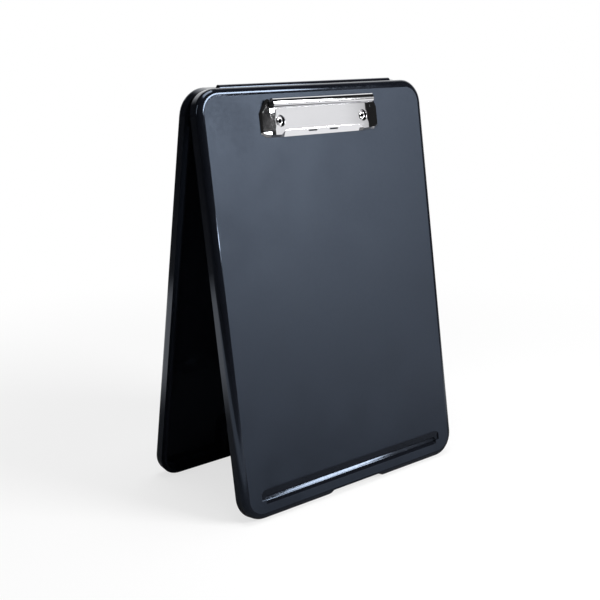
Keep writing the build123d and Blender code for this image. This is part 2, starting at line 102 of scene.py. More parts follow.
# ---------------------------- modelling bench
@dataclass
class Bench:
    """One object on the bench, shaped with Blender's own modelling tools."""

    item: bpy.types.Object

    @classmethod
    def between(cls, name: str, low: Vector, high: Vector) -> "Bench":
        """Start from a block between two corners, or from a flat rectangle if they are level.

        Args:
            name: The piece's name.
            low: Lowest corner.
            high: Highest corner.

        Returns:
            The bench with the new object.
        """
        bpy.ops.object.select_all(action="DESELECT")
        size = high - low
        if size.z == 0:
            bpy.ops.mesh.primitive_plane_add(size=1, location=(low + high) / 2)
            size.z = 1
        else:
            bpy.ops.mesh.primitive_cube_add(size=1, location=(low + high) / 2)
        return cls._started(name, size)

    @classmethod
    def turned(cls, name: str, middle: Vector, profile: list[tuple[float, float]],
               sides: int) -> "Bench":
        """Turn a closed ring about z by drawing a circle along a profile.

        Args:
            name: The piece's name.
            middle: Point on the axis from which the profile's heights count.
            profile: Radius and height of each point; the last joins the first.
            sides: Number of sides.

        Returns:
            The bench with the new object.
        """
        bpy.ops.object.select_all(action="DESELECT")
        radius, height = profile[0]
        start = middle + Vector((0, 0, height))
        bpy.ops.mesh.primitive_circle_add(vertices=sides, radius=radius, location=start)
        bench = cls._started(name, (1, 1, 1))
        with bench.editing():
            bpy.ops.mesh.select_all(action="SELECT")
            for new_radius, new_height in profile[1:]:
                rise = (0, 0, new_height - height)
                bpy.ops.mesh.extrude_region_move(TRANSFORM_OT_translate={"value": rise})
                grow = new_radius / radius
                level = middle + Vector((0, 0, new_height))
                bpy.ops.transform.resize(value=(grow, grow, 1), center_override=level)
                radius, height = new_radius, new_height
            bench.pick_edges(lambda edge: edge.is_boundary)
            bpy.ops.mesh.bridge_edge_loops()
            bench.face_outwards(SAME_POINT)
        return bench

    @classmethod
    def _started(cls, name: str, scale: tuple) -> "Bench":
        """Name the new object and apply its place and size to its mesh.

        Args:
            name: The piece's name.
            scale: Its size over the primitive's.

        Returns:
            The bench with the object.
        """
        item = bpy.context.object
        item.name = item.data.name = name
        item.scale = scale
        bpy.ops.object.transform_apply(location=True, rotation=True, scale=True)
        return cls(item)

    def focus(self) -> None:
        """Make this the only selected and the active object."""
        bpy.ops.object.select_all(action="DESELECT")
        self.item.select_set(True)
        bpy.context.view_layer.objects.active = self.item

    @contextmanager
    def editing(self) -> Iterator[None]:
        """Edit mode on this object for as long as the block lasts."""
        self.focus()
        bpy.ops.object.mode_set(mode="EDIT")
        try:
            yield
        finally:
            bpy.ops.object.mode_set(mode="OBJECT")

    def _pick(self, mode: str, test: Callable) -> None:
        """Select vertices, edges or faces that pass a test, in edit mode.

        Args:
            mode: VERT, EDGE or FACE.
            test: Says of one of them whether it is selected.
        """
        bpy.ops.mesh.select_mode(type=mode)
        bpy.ops.mesh.select_all(action="DESELECT")
        mesh = bmesh.from_edit_mesh(self.item.data)
        mesh.normal_update()
        group = {"VERT": mesh.verts, "EDGE": mesh.edges, "FACE": mesh.faces}[mode]
        found = [part for part in group if test(part)]
        for part in found:
            part.select_set(True)
        mesh.select_flush_mode()
        bmesh.update_edit_mesh(self.item.data)

    def pick_points(self, test: Callable[[Vector], bool]) -> None:
        """Select the vertices whose place passes a test."""
        self._pick("VERT", lambda vert: test(vert.co))

    def pick_edges(self, test: Callable) -> None:
        """Select the edges that pass a test."""
        self._pick("EDGE", test)

    def pick_faces(self, test: Callable[[Vector], bool]) -> None:
        """Select the faces whose middle passes a test."""
        self._pick("FACE", lambda face: test(face.calc_center_median()))

    def rows(self, test: Callable[[Vector], bool]) -> list[float]:
        """The different y of the vertices whose place passes a test, in edit mode."""
        mesh = bmesh.from_edit_mesh(self.item.data)
        return sorted({round(vert.co.y, 6) for vert in mesh.verts if test(vert.co)})

    def cut(self, point: tuple, normal: tuple, drop_outer: bool = False) -> None:
        """Bisect the whole mesh with a plane, in edit mode.

        Args:
            point: A point of the plane.
            normal: The plane's normal.
            drop_outer: Whether what lies on the normal's side goes.
        """
        bpy.ops.mesh.select_mode(type="VERT")
        bpy.ops.mesh.select_all(action="SELECT")
        bpy.ops.mesh.bisect(plane_co=point, plane_no=normal, clear_outer=drop_outer,
                            threshold=SAME_POINT)

    def cut_at_x(self, *places: float) -> None:
        """Divide the mesh at distances across."""
        for x in places:
            self.cut((x, 0, 0), (1, 0, 0))

    def cut_at_v(self, *places: float) -> None:
        """Divide the mesh at distances down from the hinge."""
        for v in places:
            self.cut((0, -v, 0), (0, 1, 0))

    def move(self, x: float = 0.0, y: float = 0.0, z: float = 0.0) -> None:
        """Move what is selected, in edit mode."""
        bpy.ops.transform.translate(value=(x, y, z))

    def face_outwards(self, threshold: float) -> None:
        """Merge points nearer than a threshold and turn all faces outwards, in edit mode."""
        bpy.ops.mesh.select_all(action="SELECT")
        bpy.ops.mesh.remove_doubles(threshold=threshold)
        bpy.ops.mesh.normals_make_consistent(inside=False)

    def modify(self, kind: str, **settings: object) -> None:
        """Add a modifier, set it and apply it.

        Args:
            kind: The modifier's type.
            **settings: Property values of the modifier.
        """
        self.focus()
        modifier = self.item.modifiers.new(kind.lower(), kind)
        for name, value in settings.items():
            setattr(modifier, name, value)
        bpy.ops.object.modifier_apply(modifier=modifier.name)

    def round_edges(self, width: float, above: float, segments: int) -> None:
        """Round the edges that turn by more than an angle.

        Args:
            width: Width of the rounding.
            above: Least angle of the edges that are rounded.
            segments: Number of faces across the rounding.
        """
        self.modify("BEVEL", width=width, segments=segments, limit_method="ANGLE",
                    angle_limit=math.radians(above), use_clamp_overlap=True,
                    harden_normals=False)

    def join(self, other: "Bench") -> None:
        """Make another bench's object part of this one, without uniting the solids.

        Args:
            other: The bench whose object is taken in.
        """
        self.focus()
        other.item.select_set(True)
        bpy.ops.object.join()

    def copy(self, x: float) -> "Bench":
        """Copy the object with its own mesh, moved across.

        Args:
            x: The step across.

        Returns:
            The bench with the copy.
        """
        self.focus()
        bpy.ops.object.duplicate()
        twin = Bench(bpy.context.object)
        twin.item.location = (x, 0, 0)
        bpy.ops.object.transform_apply(location=True, rotation=True, scale=True)
        return twin

    def finish(self, half: Half, smooth_below: float) -> bpy.types.Object:
        """Tilt the piece with its half and shade it.

        Args:
            half: The half whose frame the piece was modelled in.
            smooth_below: Edges that turn by less than this are shaded smooth.

        Returns:
            The finished object.
        """
        self.focus()
        self.item.matrix_world = BOX.matrix(half)
        bpy.ops.object.transform_apply(location=True, rotation=True, scale=True)
        bpy.ops.object.shade_smooth_by_angle(angle=math.radians(smooth_below))
        self.modify("WEIGHTED_NORMAL", keep_sharp=True, weight=80)
        log.info("modelled %s, %d faces", self.item.name, len(self.item.data.polygons))
        return self.item


# ---------------------------- node helpers
@dataclass
class Nodes:
    """A small wrapper that adds and links the shader nodes of one node tree."""

    tree: bpy.types.NodeTree

    @classmethod
    def of(cls, owner: bpy.types.ID) -> "Nodes":
        """Take the node tree of a material, lamp or world, emptied.

        Args:
            owner: The material, lamp or world.

        Returns:
            Its nodes.
        """
        owner.use_nodes = True
        owner.node_tree.nodes.clear()
        return cls(owner.node_tree)

    def add(self, kind: str, **settings: object) -> bpy.types.Node:
        """Add a node and set its properties.

        Args:
            kind: The node's type name.
            **settings: Property values of the node.

        Returns:
            The new node.
        """
        node = self.tree.nodes.new(kind)
        for name, value in settings.items():
            setattr(node, name, value)
        return node

    def put(self, value: object, into: Socket) -> None:
        """Link a socket to an input, or set the input to a value.

        Args:
            value: A socket, a number or a colour with its alpha.
            into: The input.
        """
        if isinstance(value, Socket):
            self.tree.links.new(value, into)
        else:
            into.default_value = value

    def math(self, operation: str, first: object, second: object = 0.0,
             clamp: bool = False) -> Socket:
        """Add a Math node.

        Args:
            operation: The node's operation.
            first: A socket or a number.
            second: A socket or a number.
            clamp: Whether the result is kept between 0 and 1.

        Returns:
            The output socket.
        """
        node = self.add("ShaderNodeMath", operation=operation, use_clamp=clamp)
        self.put(first, node.inputs[0])
        self.put(second, node.inputs[1])
        return node.outputs[0]

    def step(self, value: Socket, low: float, high: float, to_low: float = 0.0,
             to_high: float = 1.0) -> Socket:
        """Add a smooth step from one value to another.

        Args:
            value: The socket that is stepped.
            low: Where the step starts.
            high: Where the step ends.
            to_low: The result up to low.
            to_high: The result from high on.

        Returns:
            The output socket.
        """
        node = self.add("ShaderNodeMapRange", interpolation_type="SMOOTHSTEP")
        self.put(value, node.inputs["Value"])
        node.inputs["From Min"].default_value = low
        node.inputs["From Max"].default_value = high
        node.inputs["To Min"].default_value = to_low
        node.inputs["To Max"].default_value = to_high
        return node.outputs[0]

    def noise(self, where: Socket, scale: float, detail: float = 2.0,
              roughness: float = 0.5) -> Socket:
        """Add a noise texture.

        Args:
            where: The coordinates.
            scale: The texture's scale.
            detail: Number of octaves.
            roughness: Share of the finer octaves.

        Returns:
            The socket with the noise value.
        """
        node = self.add("ShaderNodeTexNoise")
        node.inputs["Scale"].default_value = scale
        node.inputs["Detail"].default_value = detail
        node.inputs["Roughness"].default_value = roughness
        self.put(where, node.inputs["Vector"])
        return node.outputs[0]

    def split(self, vector: Socket) -> list[Socket]:
        """Add a node that separates a vector.

        Args:
            vector: The vector's socket.

        Returns:
            The sockets of its x, y and z.
        """
        node = self.add("ShaderNodeSeparateXYZ")
        self.put(vector, node.inputs[0])
        return list(node.outputs)

    def along(self, vector: Socket, way: Vector) -> Socket:
        """Add a node for how far a vector points a way.

        Args:
            vector: The vector's socket.
            way: The way.

        Returns:
            The output socket.
        """
        node = self.add("ShaderNodeVectorMath", operation="DOT_PRODUCT")
        self.put(vector, node.inputs[0])
        node.inputs[1].default_value = way
        return node.outputs["Value"]

    def blend(self, factor: object, low: object, high: object, way: str = "MIX") -> Socket:
        """Mix two colours.

        Args:
            factor: The share of the second colour, a socket or a number.
            low: The first colour, or its socket.
            high: The second colour, or its socket.
            way: The node's way of mixing.

        Returns:
            The colour socket.
        """
        node = self.add("ShaderNodeMix", data_type="RGBA", blend_type=way)
        self.put(factor, node.inputs["Factor"])
        for color, into in zip((low, high), node.inputs[6:8]):
            self.put((*color, 1) if isinstance(color, tuple) else color, into)
        return node.outputs[2]

    def bump(self, height: Socket, distance: float, strength: object) -> Socket:
        """Add a bump node.

        Args:
            height: The height socket.
            distance: The height in metres at a value of one.
            strength: A number or a socket.

        Returns:
            The normal socket.
        """
        node = self.add("ShaderNodeBump")
        node.inputs["Distance"].default_value = distance
        self.put(strength, node.inputs["Strength"])
        self.put(height, node.inputs["Height"])
        return node.outputs[0]

    def mix(self, factor: Socket, first: Socket, second: Socket) -> Socket:
        """Mix two shaders.

        Args:
            factor: The share of the second shader.
            first: The first shader.
            second: The second shader.

        Returns:
            The shader socket.
        """
        node = self.add("ShaderNodeMixShader")
        for socket, into in zip((factor, first, second), node.inputs):
            self.put(socket, into)
        return node.outputs[0]


@dataclass
class Paint:
    """A new material with one principled shader, ready for its texture nodes."""

    name: str

    def __post_init__(self) -> None:
        """Create the material, its shader and its output."""
        self.material = bpy.data.materials.new(self.name)
        self.net = Nodes.of(self.material)
        out = self.net.add("ShaderNodeOutputMaterial")
        self.shader = self.net.add("ShaderNodeBsdfPrincipled")
        self.net.put(self.shader.outputs[0], out.inputs["Surface"])
        self.where = self.net.add("ShaderNodeTexCoord").outputs["Object"]

    def into(self, socket: Socket, name: str) -> None:
        """Link a socket to one of the shader's inputs."""
        self.net.put(socket, self.shader.inputs[name])


# ---------------------------- finishes
@dataclass(frozen=True)
class Panel:
    """Grained panel with round corners, inside the smooth border of a half."""

    half_width: float = 113.0 * MM
    top: float = 6.8 * MM
    bottom: float = 330.0 * MM
    corner: float = 13.2 * MM
    fade: float = 0.25 * MM

    def mask(self, net: Nodes, x: Socket, y: Socket) -> Socket:
        """Add nodes that give one on the panel and zero off it.

        Args:
            net: The material's nodes.
            x: Place across.
            y: Minus the distance down from the hinge.

        Returns:
            The output socket.
        """
        middle = (self.top + self.bottom) / 2
        reach_v = (self.bottom - self.top) / 2 - self.corner
        across = net.math("SUBTRACT", net.math("ABSOLUTE", x), self.half_width - self.corner)
        down = net.math("ABSOLUTE", net.math("ADD", y, middle))
        past_x = net.math("MAXIMUM", across, 0.0)
        past_v = net.math("MAXIMUM", net.math("SUBTRACT", down, reach_v), 0.0)
        past = net.math("SQRT", net.math("ADD", net.math("MULTIPLY", past_x, past_x),
                                         net.math("MULTIPLY", past_v, past_v)))
        return net.step(past, self.corner - self.fade, self.corner, 1.0, 0.0)


@dataclass(frozen=True)
class SmoothBand:
    """Long band of the face that is moulded smooth, such as the pen groove."""

    half_length: float
    upper: float
    lower: float
    row_fade: float = 0.1 * MM
    end_fade: float = 0.3 * MM

    def mask(self, net: Nodes, x: Socket, y: Socket) -> Socket:
        """Add nodes that give one on the band and zero off it.

        Args:
            net: The material's nodes.
            x: Place across.
            y: Minus the distance down from the hinge.

        Returns:
            The output socket.
        """
        across = net.math("ABSOLUTE", x)
        down = net.math("MULTIPLY", y, -1.0)
        rows = net.math(
            "MULTIPLY", net.step(down, self.upper - self.row_fade, self.upper + self.row_fade),
            net.step(down, self.lower - self.row_fade, self.lower + self.row_fade, 1.0, 0.0))
        ends = net.step(across, self.half_length, self.half_length + self.end_fade, 1.0, 0.0)
        return net.math("MULTIPLY", rows, ends)


@dataclass(frozen=True)
class MouldedPlastic:
    """Black moulded plastic: a fine matte grain on the outer panel, gloss elsewhere."""

    name: str
    half: Half
    band: SmoothBand | None = None
    panel: Panel = Panel()
    face_color: Color = (0.0052, 0.0066, 0.0110)
    gloss_color: Color = (0.0050, 0.0058, 0.0085)
    face_roughness: float = 0.49
    gloss_roughness: float = 0.08
    tint: Color = (0.60, 0.75, 1.0)
    outward_from: float = 0.10
    outward_to: float = 0.35
    round_edge: float = 0.15 * MM
    face_fade: float = 0.1 * MM
    stipple_scale: float = 1500.0
    grain_scale: float = 2600.0
    grain_detail: tuple[float, float] = (3.0, 0.62)
    grain_share: float = 0.55
    grain_depth: float = 0.022 * MM
    gloss_bump: float = 0.03
    face_bump: float = 0.75
    cloud: tuple[float, float, float] = (26.0, 5.0, 0.62)
    cloud_shades: tuple[float, float] = (0.90, 1.08)
    cloud_gloss: float = 0.040
    scuff_scale: float = 420.0
    scuff_gloss: float = 0.02

    def _face(self, net: Nodes, place: Socket) -> Socket:
        """Add nodes that give one on the grained face and zero where it is glossy.

        Args:
            net: The material's nodes.
            place: Place in the closed box's frame.

        Returns:
            The output socket.
        """
        x, y, z = net.split(place)
        out = BOX.matrix(self.half).to_3x3() @ Vector((0, 0, self.half.value))
        normal = net.add("ShaderNodeTexCoord").outputs["Normal"]
        facing = net.step(net.along(normal, out), self.outward_from, self.outward_to)
        outward = net.math("MULTIPLY", z, float(self.half.value))
        edge = BOX.depth - self.round_edge
        face = net.math("MULTIPLY", facing, net.step(outward, edge - self.face_fade, edge))
        face = net.math("MULTIPLY", face, self.panel.mask(net, x, y))
        if self.band:
            face = net.math("SUBTRACT", face, self.band.mask(net, x, y), clamp=True)
        return face

    def make(self) -> bpy.types.Material:
        """Build the material.

        Returns:
            The material.
        """
        paint = Paint(self.name)
        net = paint.net
        paint.shader.inputs["Specular Tint"].default_value = (*self.tint, 1)
        mapping = net.add("ShaderNodeMapping", vector_type="TEXTURE")
        mapping.inputs["Location"].default_value = (0, 0, BOX.hinge_height)
        mapping.inputs["Rotation"].default_value = (BOX.tilt(self.half), 0, 0)
        net.put(paint.where, mapping.inputs["Vector"])
        place = mapping.outputs[0]
        face = self._face(net, place)

        grain = net.noise(place, self.grain_scale, *self.grain_detail)
        stipple = net.add("ShaderNodeTexVoronoi", feature="SMOOTH_F1")
        stipple.inputs["Scale"].default_value = self.stipple_scale
        net.put(place, stipple.inputs["Vector"])
        height = net.math("ADD", net.math("MULTIPLY", grain, self.grain_share),
                          stipple.outputs["Distance"])
        cloud = net.noise(place, *self.cloud)
        scuff = net.noise(place, self.scuff_scale)

        base = net.blend(face, self.gloss_color, self.face_color)
        shade = net.step(cloud, *NOISE_RANGE, *self.cloud_shades)
        paint.into(net.blend(1.0, base, shade, "MULTIPLY"), "Base Color")

        rough = net.step(face, 0.0, 1.0, self.gloss_roughness, self.face_roughness)
        wander = net.step(cloud, *NOISE_RANGE, -self.cloud_gloss, self.cloud_gloss)
        fine = net.step(scuff, *NOISE_RANGE, -self.scuff_gloss, self.scuff_gloss)
        paint.into(net.math("ADD", net.math("ADD", rough, wander), fine), "Roughness")
        strength = net.step(face, 0.0, 1.0, self.gloss_bump, self.face_bump)
        paint.into(net.bump(height, self.grain_depth, strength), "Normal")
        return paint.material


@dataclass(frozen=True)
class SatinPlastic:
    """Small black moulded piece with an even satin surface."""

    name: str
    color: Color = (0.010, 0.011, 0.014)
    darker: float = 0.8
    roughness: float = 0.30
    wander: float = 0.05
    cloud_scale: float = 120.0
    grain_scale: float = 2400.0
    grain_depth: float = 0.03 * MM
    grain_bump: float = 0.4

    def make(self) -> bpy.types.Material:
        """Build the material.

        Returns:
            The material.
        """
        paint = Paint(self.name)
        net = paint.net
        cloud = net.noise(paint.where, self.cloud_scale, 3.0)
        shade = tuple(part * self.darker for part in self.color)
        paint.into(net.blend(cloud, shade, self.color), "Base Color")
        paint.into(net.step(cloud, *NOISE_RANGE, self.roughness - self.wander,
                            self.roughness + self.wander), "Roughness")
        grain = net.noise(paint.where, self.grain_scale)
        paint.into(net.bump(grain, self.grain_depth, self.grain_bump), "Normal")
        return paint.material


@dataclass(frozen=True)
class PlatedSteel:
    """Steel under bright nickel, or drawn steel, with fine lines along x."""

    name: str
    color: Color = (0.80, 0.80, 0.825)
    duller: float = 0.94
    roughness: float = 0.06
    smoothest: float = 0.7
    roughest: float = 1.35
    cloud_scale: float = 70.0
    line_scale: tuple[float, float, float] = (70, 2200, 2200)
    line_range: tuple[float, float] = (0.25, 0.75)
    line_depth: float = 0.0015 * MM
    line_strength: float = 0.35

    def make(self) -> bpy.types.Material:
        """Build the material.

        Returns:
            The material.
        """
        paint = Paint(self.name)
        net = paint.net
        paint.shader.inputs["Metallic"].default_value = 1.0
        stretch = net.add("ShaderNodeMapping")
        stretch.inputs["Scale"].default_value = self.line_scale
        net.put(paint.where, stretch.inputs["Vector"])
        lines = net.noise(stretch.outputs[0], 1.0)
        cloud = net.noise(paint.where, self.cloud_scale, 3.0)
        shade = tuple(part * self.duller for part in self.color)
        paint.into(net.blend(cloud, shade, self.color), "Base Color")
        paint.into(net.step(lines, *self.line_range, self.roughness * self.smoothest,
                            self.roughness * self.roughest), "Roughness")
        paint.into(net.bump(lines, self.line_depth, self.line_strength), "Normal")
        return paint.material


# ---------------------------- the clip
WINDOW_X = 43.9 * MM
WINDOW_V = 28.2 * MM


@dataclass
class ClipJaw:
    """Pressed jaw: a rolled barrel, a plate with two windows, wings, cheeks and a lip.

    It starts as a flat blank, which is raised, pierced and rolled, and then thickened.
    """

    sheet: float = 0.9 * MM
    axis_v: float = 14.5 * MM
    axis_z: float = 15.9 * MM
    barrel_radius: float = 3.7 * MM
    barrel_half: float = 53.0 * MM
    barrel_wrap: float = 298.0
    barrel_steps: int = 44
    barrel_relief: float = 0.5 * MM
    half_width: float = 62.4 * MM
    top_v: float = 11.0 * MM
    middle_v: float = 26.0 * MM
    bottom_v: float = 40.5 * MM
    shoulder: tuple = ((56.0 * MM, 11.0 * MM), (62.4 * MM, 21.4 * MM))
    corner: tuple = ((62.4 * MM, 37.0 * MM), (57.6 * MM, 40.0 * MM))
    toe: tuple = ((57.6 * MM, 40.0 * MM), (44.0 * MM, 40.5 * MM))
    rim_z: float = 11.35 * MM
    rim_width: float = 1.7 * MM
    rim_height: float = 1.35 * MM
    wing_drop: float = 1.2 * MM
    flat_half: float = 49.6 * MM
    lip_half: float = 40.0 * MM
    lip_end: float = 44.0 * MM
    cheek_v: float = 22.3 * MM
    cheek_gap: float = 0.4 * MM
    cheek_rise: float = 0.16
    cheek_rim_rise: float = 2.0 * MM
    cheek_rim_band: float = 0.5 * MM
    above_rim: float = 0.3 * MM
    lip_rise: float = 3.1 * MM
    crease_width: float = 0.9 * MM
    crease_drop: float = 0.106 * MM
    plate_start_v: float = 17.4 * MM
    ground_z: float = 11.12 * MM
    fold_round: float = 0.55 * MM
    fold_angle: float = 2.5
    sliver: float = 0.015 * MM
    edge_round: float = 0.12 * MM
    edge_angle: float = 50.0
    smooth_below: float = 14.0
    window_radius: float = 4.7 * MM
    window_sides: int = 48
    window_cell: float = 5.9 * MM
    slot_x: float = 11.2 * MM
    slot_v: float = 37.2 * MM
    slot_size: tuple = (9.0 * MM, 1.2 * MM)
    slot_sides: int = 24
    slot_margin: tuple = (0.6 * MM, 0.35 * MM)
    parked_z: float = 0.5
    notches: tuple = ((46.0 * MM, 0.75 * MM), (-46.0 * MM, 0.75 * MM), (0.0, 5.55 * MM))
    notch_z: float = 15.4 * MM
    notch_v: float = 16.9 * MM

    def __post_init__(self) -> None:
        """Lay the flat blank on the bench."""
        low = Vector((-self.half_width, -self.bottom_v, self.rim_z))
        high = Vector((self.half_width, -self.top_v, self.rim_z))
        self.bench = Bench.between("clip_jaw_pressed", low, high)

    def _trim(self, first: tuple, last: tuple) -> None:
        """Cut the blank along a slanted line, on both sides.

        Args:
            first: Distance across and down of the line's upper end.
            last: Distance across and down of its lower end.
        """
        along = Vector((last[0] - first[0], first[1] - last[1], 0))
        out = Vector((-along.y, along.x, 0))
        point = Vector((first[0], -first[1], 0))
        if out.dot(Vector((0, -self.middle_v, 0)) - point) > 0:
            out = -out
        for side in (1, -1):
            self.bench.cut((side * point.x, point.y, 0), (side * out.x, out.y, 0),
                           drop_outer=True)

    def _pan(self) -> None:
        """Raise the blank into a shallow pan with wings, a sloping lip and its crease."""
        bench = self.bench
        for x in (self.lip_half, self.lip_end, self.flat_half):
            bench.cut_at_x(x, -x)
        bpy.ops.mesh.select_mode(type="FACE")
        bpy.ops.mesh.select_all(action="SELECT")
        bpy.ops.mesh.inset(thickness=self.rim_width, depth=0, use_boundary=True)
        bench.move(z=self.rim_height)
        top = self.rim_z + self.rim_height - NEAR
        bench.pick_points(lambda at: at.z > top and abs(at.x) < self.flat_half + NEAR)
        bench.move(z=self.wing_drop)
        low = -(self.bottom_v - 2 * self.rim_width)
        bench.pick_points(lambda at: at.z > top and at.y < low
                          and abs(at.x) < self.lip_half + NEAR)
        bench.move(y=self.lip_rise)
        fold = self.bottom_v - self.rim_width - self.lip_rise
        bench.cut_at_v(fold - 2 * self.crease_width / 3, fold + self.crease_width / 3)
        bench.pick_points(lambda at: abs(at.y + fold) < NEAR
                          and abs(at.x) < self.lip_half + NEAR)
        bench.move(z=-self.crease_drop)

    def _open_top(self) -> None:
        """Take out the part of the blank where the barrel lies between the cheeks."""
        relief = self.barrel_half + self.barrel_relief
        for x in (self.barrel_half, relief):
            self.bench.cut_at_x(x, -x)
        self.bench.cut_at_v(self.plate_start_v)
        self.bench.pick_faces(lambda at: abs(at.x) < relief and at.y > -self.plate_start_v)
        bpy.ops.mesh.delete(type="FACE")

    def _raise_cheeks(self) -> None:
        """Lift the wings' upper parts beside the barrel, up to the rod's height."""
        bench = self.bench
        bench.cut_at_v(self.cheek_v)
        beside = self.barrel_half + self.cheek_gap
        inner = self.rim_z + self.above_rim
        for row in bench.rows(lambda at: at.y > -self.cheek_v and at.z > inner):
            bench.pick_points(lambda at: abs(at.x) > beside and at.z > inner
                              and abs(at.y - row) < SAME_ROW)
            bench.move(z=self.cheek_rise * (row + self.cheek_v))
        bench.pick_points(lambda at: abs(at.x) > beside and at.z < inner
                          and at.y > -self.top_v - self.cheek_rim_band)
        bench.move(z=self.cheek_rim_rise)

    def _curl(self) -> None:
        """Draw the plate's upper edge under the rod and roll it round into the barrel."""
        start_z = self.axis_z - (self.barrel_radius - self.sheet)
        reach = self.barrel_half + NEAR
        self.bench.pick_edges(lambda edge: edge.is_boundary and all(
            abs(end.co.y + self.plate_start_v) < NEAR and abs(end.co.x) < reach
            for end in edge.verts))
        bpy.ops.mesh.extrude_region_move(TRANSFORM_OT_translate={
            "value": (0, self.plate_start_v - self.axis_v, 0)})
        bpy.ops.transform.resize(value=(1, 1, 0), center_override=(0, 0, start_z))
        bpy.ops.mesh.spin(steps=self.barrel_steps, angle=-math.radians(self.barrel_wrap),
                          dupli=False, center=(0, -self.axis_v, self.axis_z), axis=(1, 0, 0))
        self.bench.face_outwards(NEAR)
        mesh = bmesh.from_edit_mesh(self.bench.item.data)
        mesh.normal_update()
        plate = max(mesh.faces, key=lambda face: face.calc_area())
        if plate.normal.z < 0:
            bpy.ops.mesh.flip_normals()

    def _pierce(self, x: float, v: float, radius: float, reach: float, sides: int,
                cell: tuple[float, float, float, float]) -> None:
        """Open a round or long hole in a flat part of the sheet.

        The hole's outline is drawn high above the sheet, so that its points can be told
        from the sheet's, and is then lowered onto the sheet.

        Args:
            x: The hole's middle, across.
            v: The hole's middle, down.
            radius: Radius of the hole's round ends.
            reach: How far each round end lies from the middle, zero for a round hole.
            sides: Number of sides of its round ends together.
            cell: Left, right, upper and lower side of the cell that the hole is in.
        """
        bench = self.bench
        left, right, upper, lower = cell
        bench.cut_at_x(left, right)
        bench.cut_at_v(upper, lower)
        bench.pick_faces(lambda at: left < at.x < right and upper < -at.y < lower)
        mesh = bmesh.from_edit_mesh(bench.item.data)
        flat = next(face for face in mesh.faces if face.select)
        normal, base = flat.normal.copy(), flat.calc_center_median()
        bpy.ops.mesh.delete(type="FACE")
        bpy.ops.mesh.select_all(action="DESELECT")
        bpy.ops.mesh.primitive_circle_add(vertices=sides, radius=radius,
                                          location=(x, -v, self.parked_z))
        high = self.parked_z / 2
        for side in (1, -1):
            bench.pick_points(lambda at: at.z > high and side * (at.x - x) > SAME_POINT)
            bench.move(x=side * reach)
        for row in bench.rows(lambda at: at.z > high):
            height = base.z - normal.y * (row - base.y) / normal.z
            bench.pick_points(lambda at: at.z > high and abs(at.y - row) < SAME_ROW)
            bench.move(z=height - self.parked_z)
        bench.pick_edges(lambda edge: edge.is_boundary and all(
            left - NEAR < end.co.x < right + NEAR and upper - NEAR < -end.co.y < lower + NEAR
            for end in edge.verts) or edge.is_wire)
        bpy.ops.mesh.fill(use_beauty=True)

    def _pierce_plate(self) -> None:
        """Pierce the plate with its two windows and the lip with its two grip slots."""
        upper, lower = WINDOW_V - self.window_cell, WINDOW_V + self.window_cell
        for side in (1, -1):
            x = side * WINDOW_X
            inner, outer = x - side * self.window_cell, side * self.flat_half
            self._pierce(x, WINDOW_V, self.window_radius, 0.0, self.window_sides,
                         (min(inner, outer), max(inner, outer), upper, lower))
        (length, width), (beside, above) = self.slot_size, self.slot_margin
        for side in (1, -1):
            x = side * self.slot_x
            cell = (x - length / 2 - beside, x + length / 2 + beside,
                    self.slot_v - width / 2 - above, self.slot_v + width / 2 + above)
            self._pierce(x, self.slot_v, width / 2, (length - width) / 2, self.slot_sides,
                         cell)

    def _notch_barrel(self) -> None:
        """Free the rolled sheet of the base plate's ears and of the spring."""
        for middle, half in self.notches:
            self.bench.cut_at_x(middle - half, middle + half)
            self.bench.pick_faces(lambda at: abs(at.x - middle) < half
                                  and at.z < self.notch_z and at.y > -self.notch_v)
            bpy.ops.mesh.delete(type="FACE")

    def build(self) -> bpy.types.Object:
        """Model the jaw.

        Returns:
            The finished object.
        """
        bench = self.bench
        with bench.editing():
            for line in (self.shoulder, self.corner, self.toe):
                self._trim(*line)
            self._pan()
            self._open_top()
            self._raise_cheeks()
            self._pierce_plate()
        bench.round_edges(self.fold_round, self.fold_angle, 3)
        with bench.editing():
            bpy.ops.mesh.select_all(action="SELECT")
            bpy.ops.mesh.dissolve_degenerate(threshold=self.sliver)
            self._curl()
            self._notch_barrel()
        bench.modify("SOLIDIFY", thickness=self.sheet, offset=-1, use_rim=True)
        with bench.editing():
            bench.pick_points(lambda at: at.z < self.ground_z)
            bpy.ops.transform.resize(value=(1, 1, 0),
                                     center_override=(0, 0, self.ground_z))
        bench.round_edges(self.edge_round, self.edge_angle, 2)
        jaw = bench.finish(Half.COVER, self.smooth_below)
        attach(jaw, "jaw")
        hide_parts("clip_jaw")
        return jaw


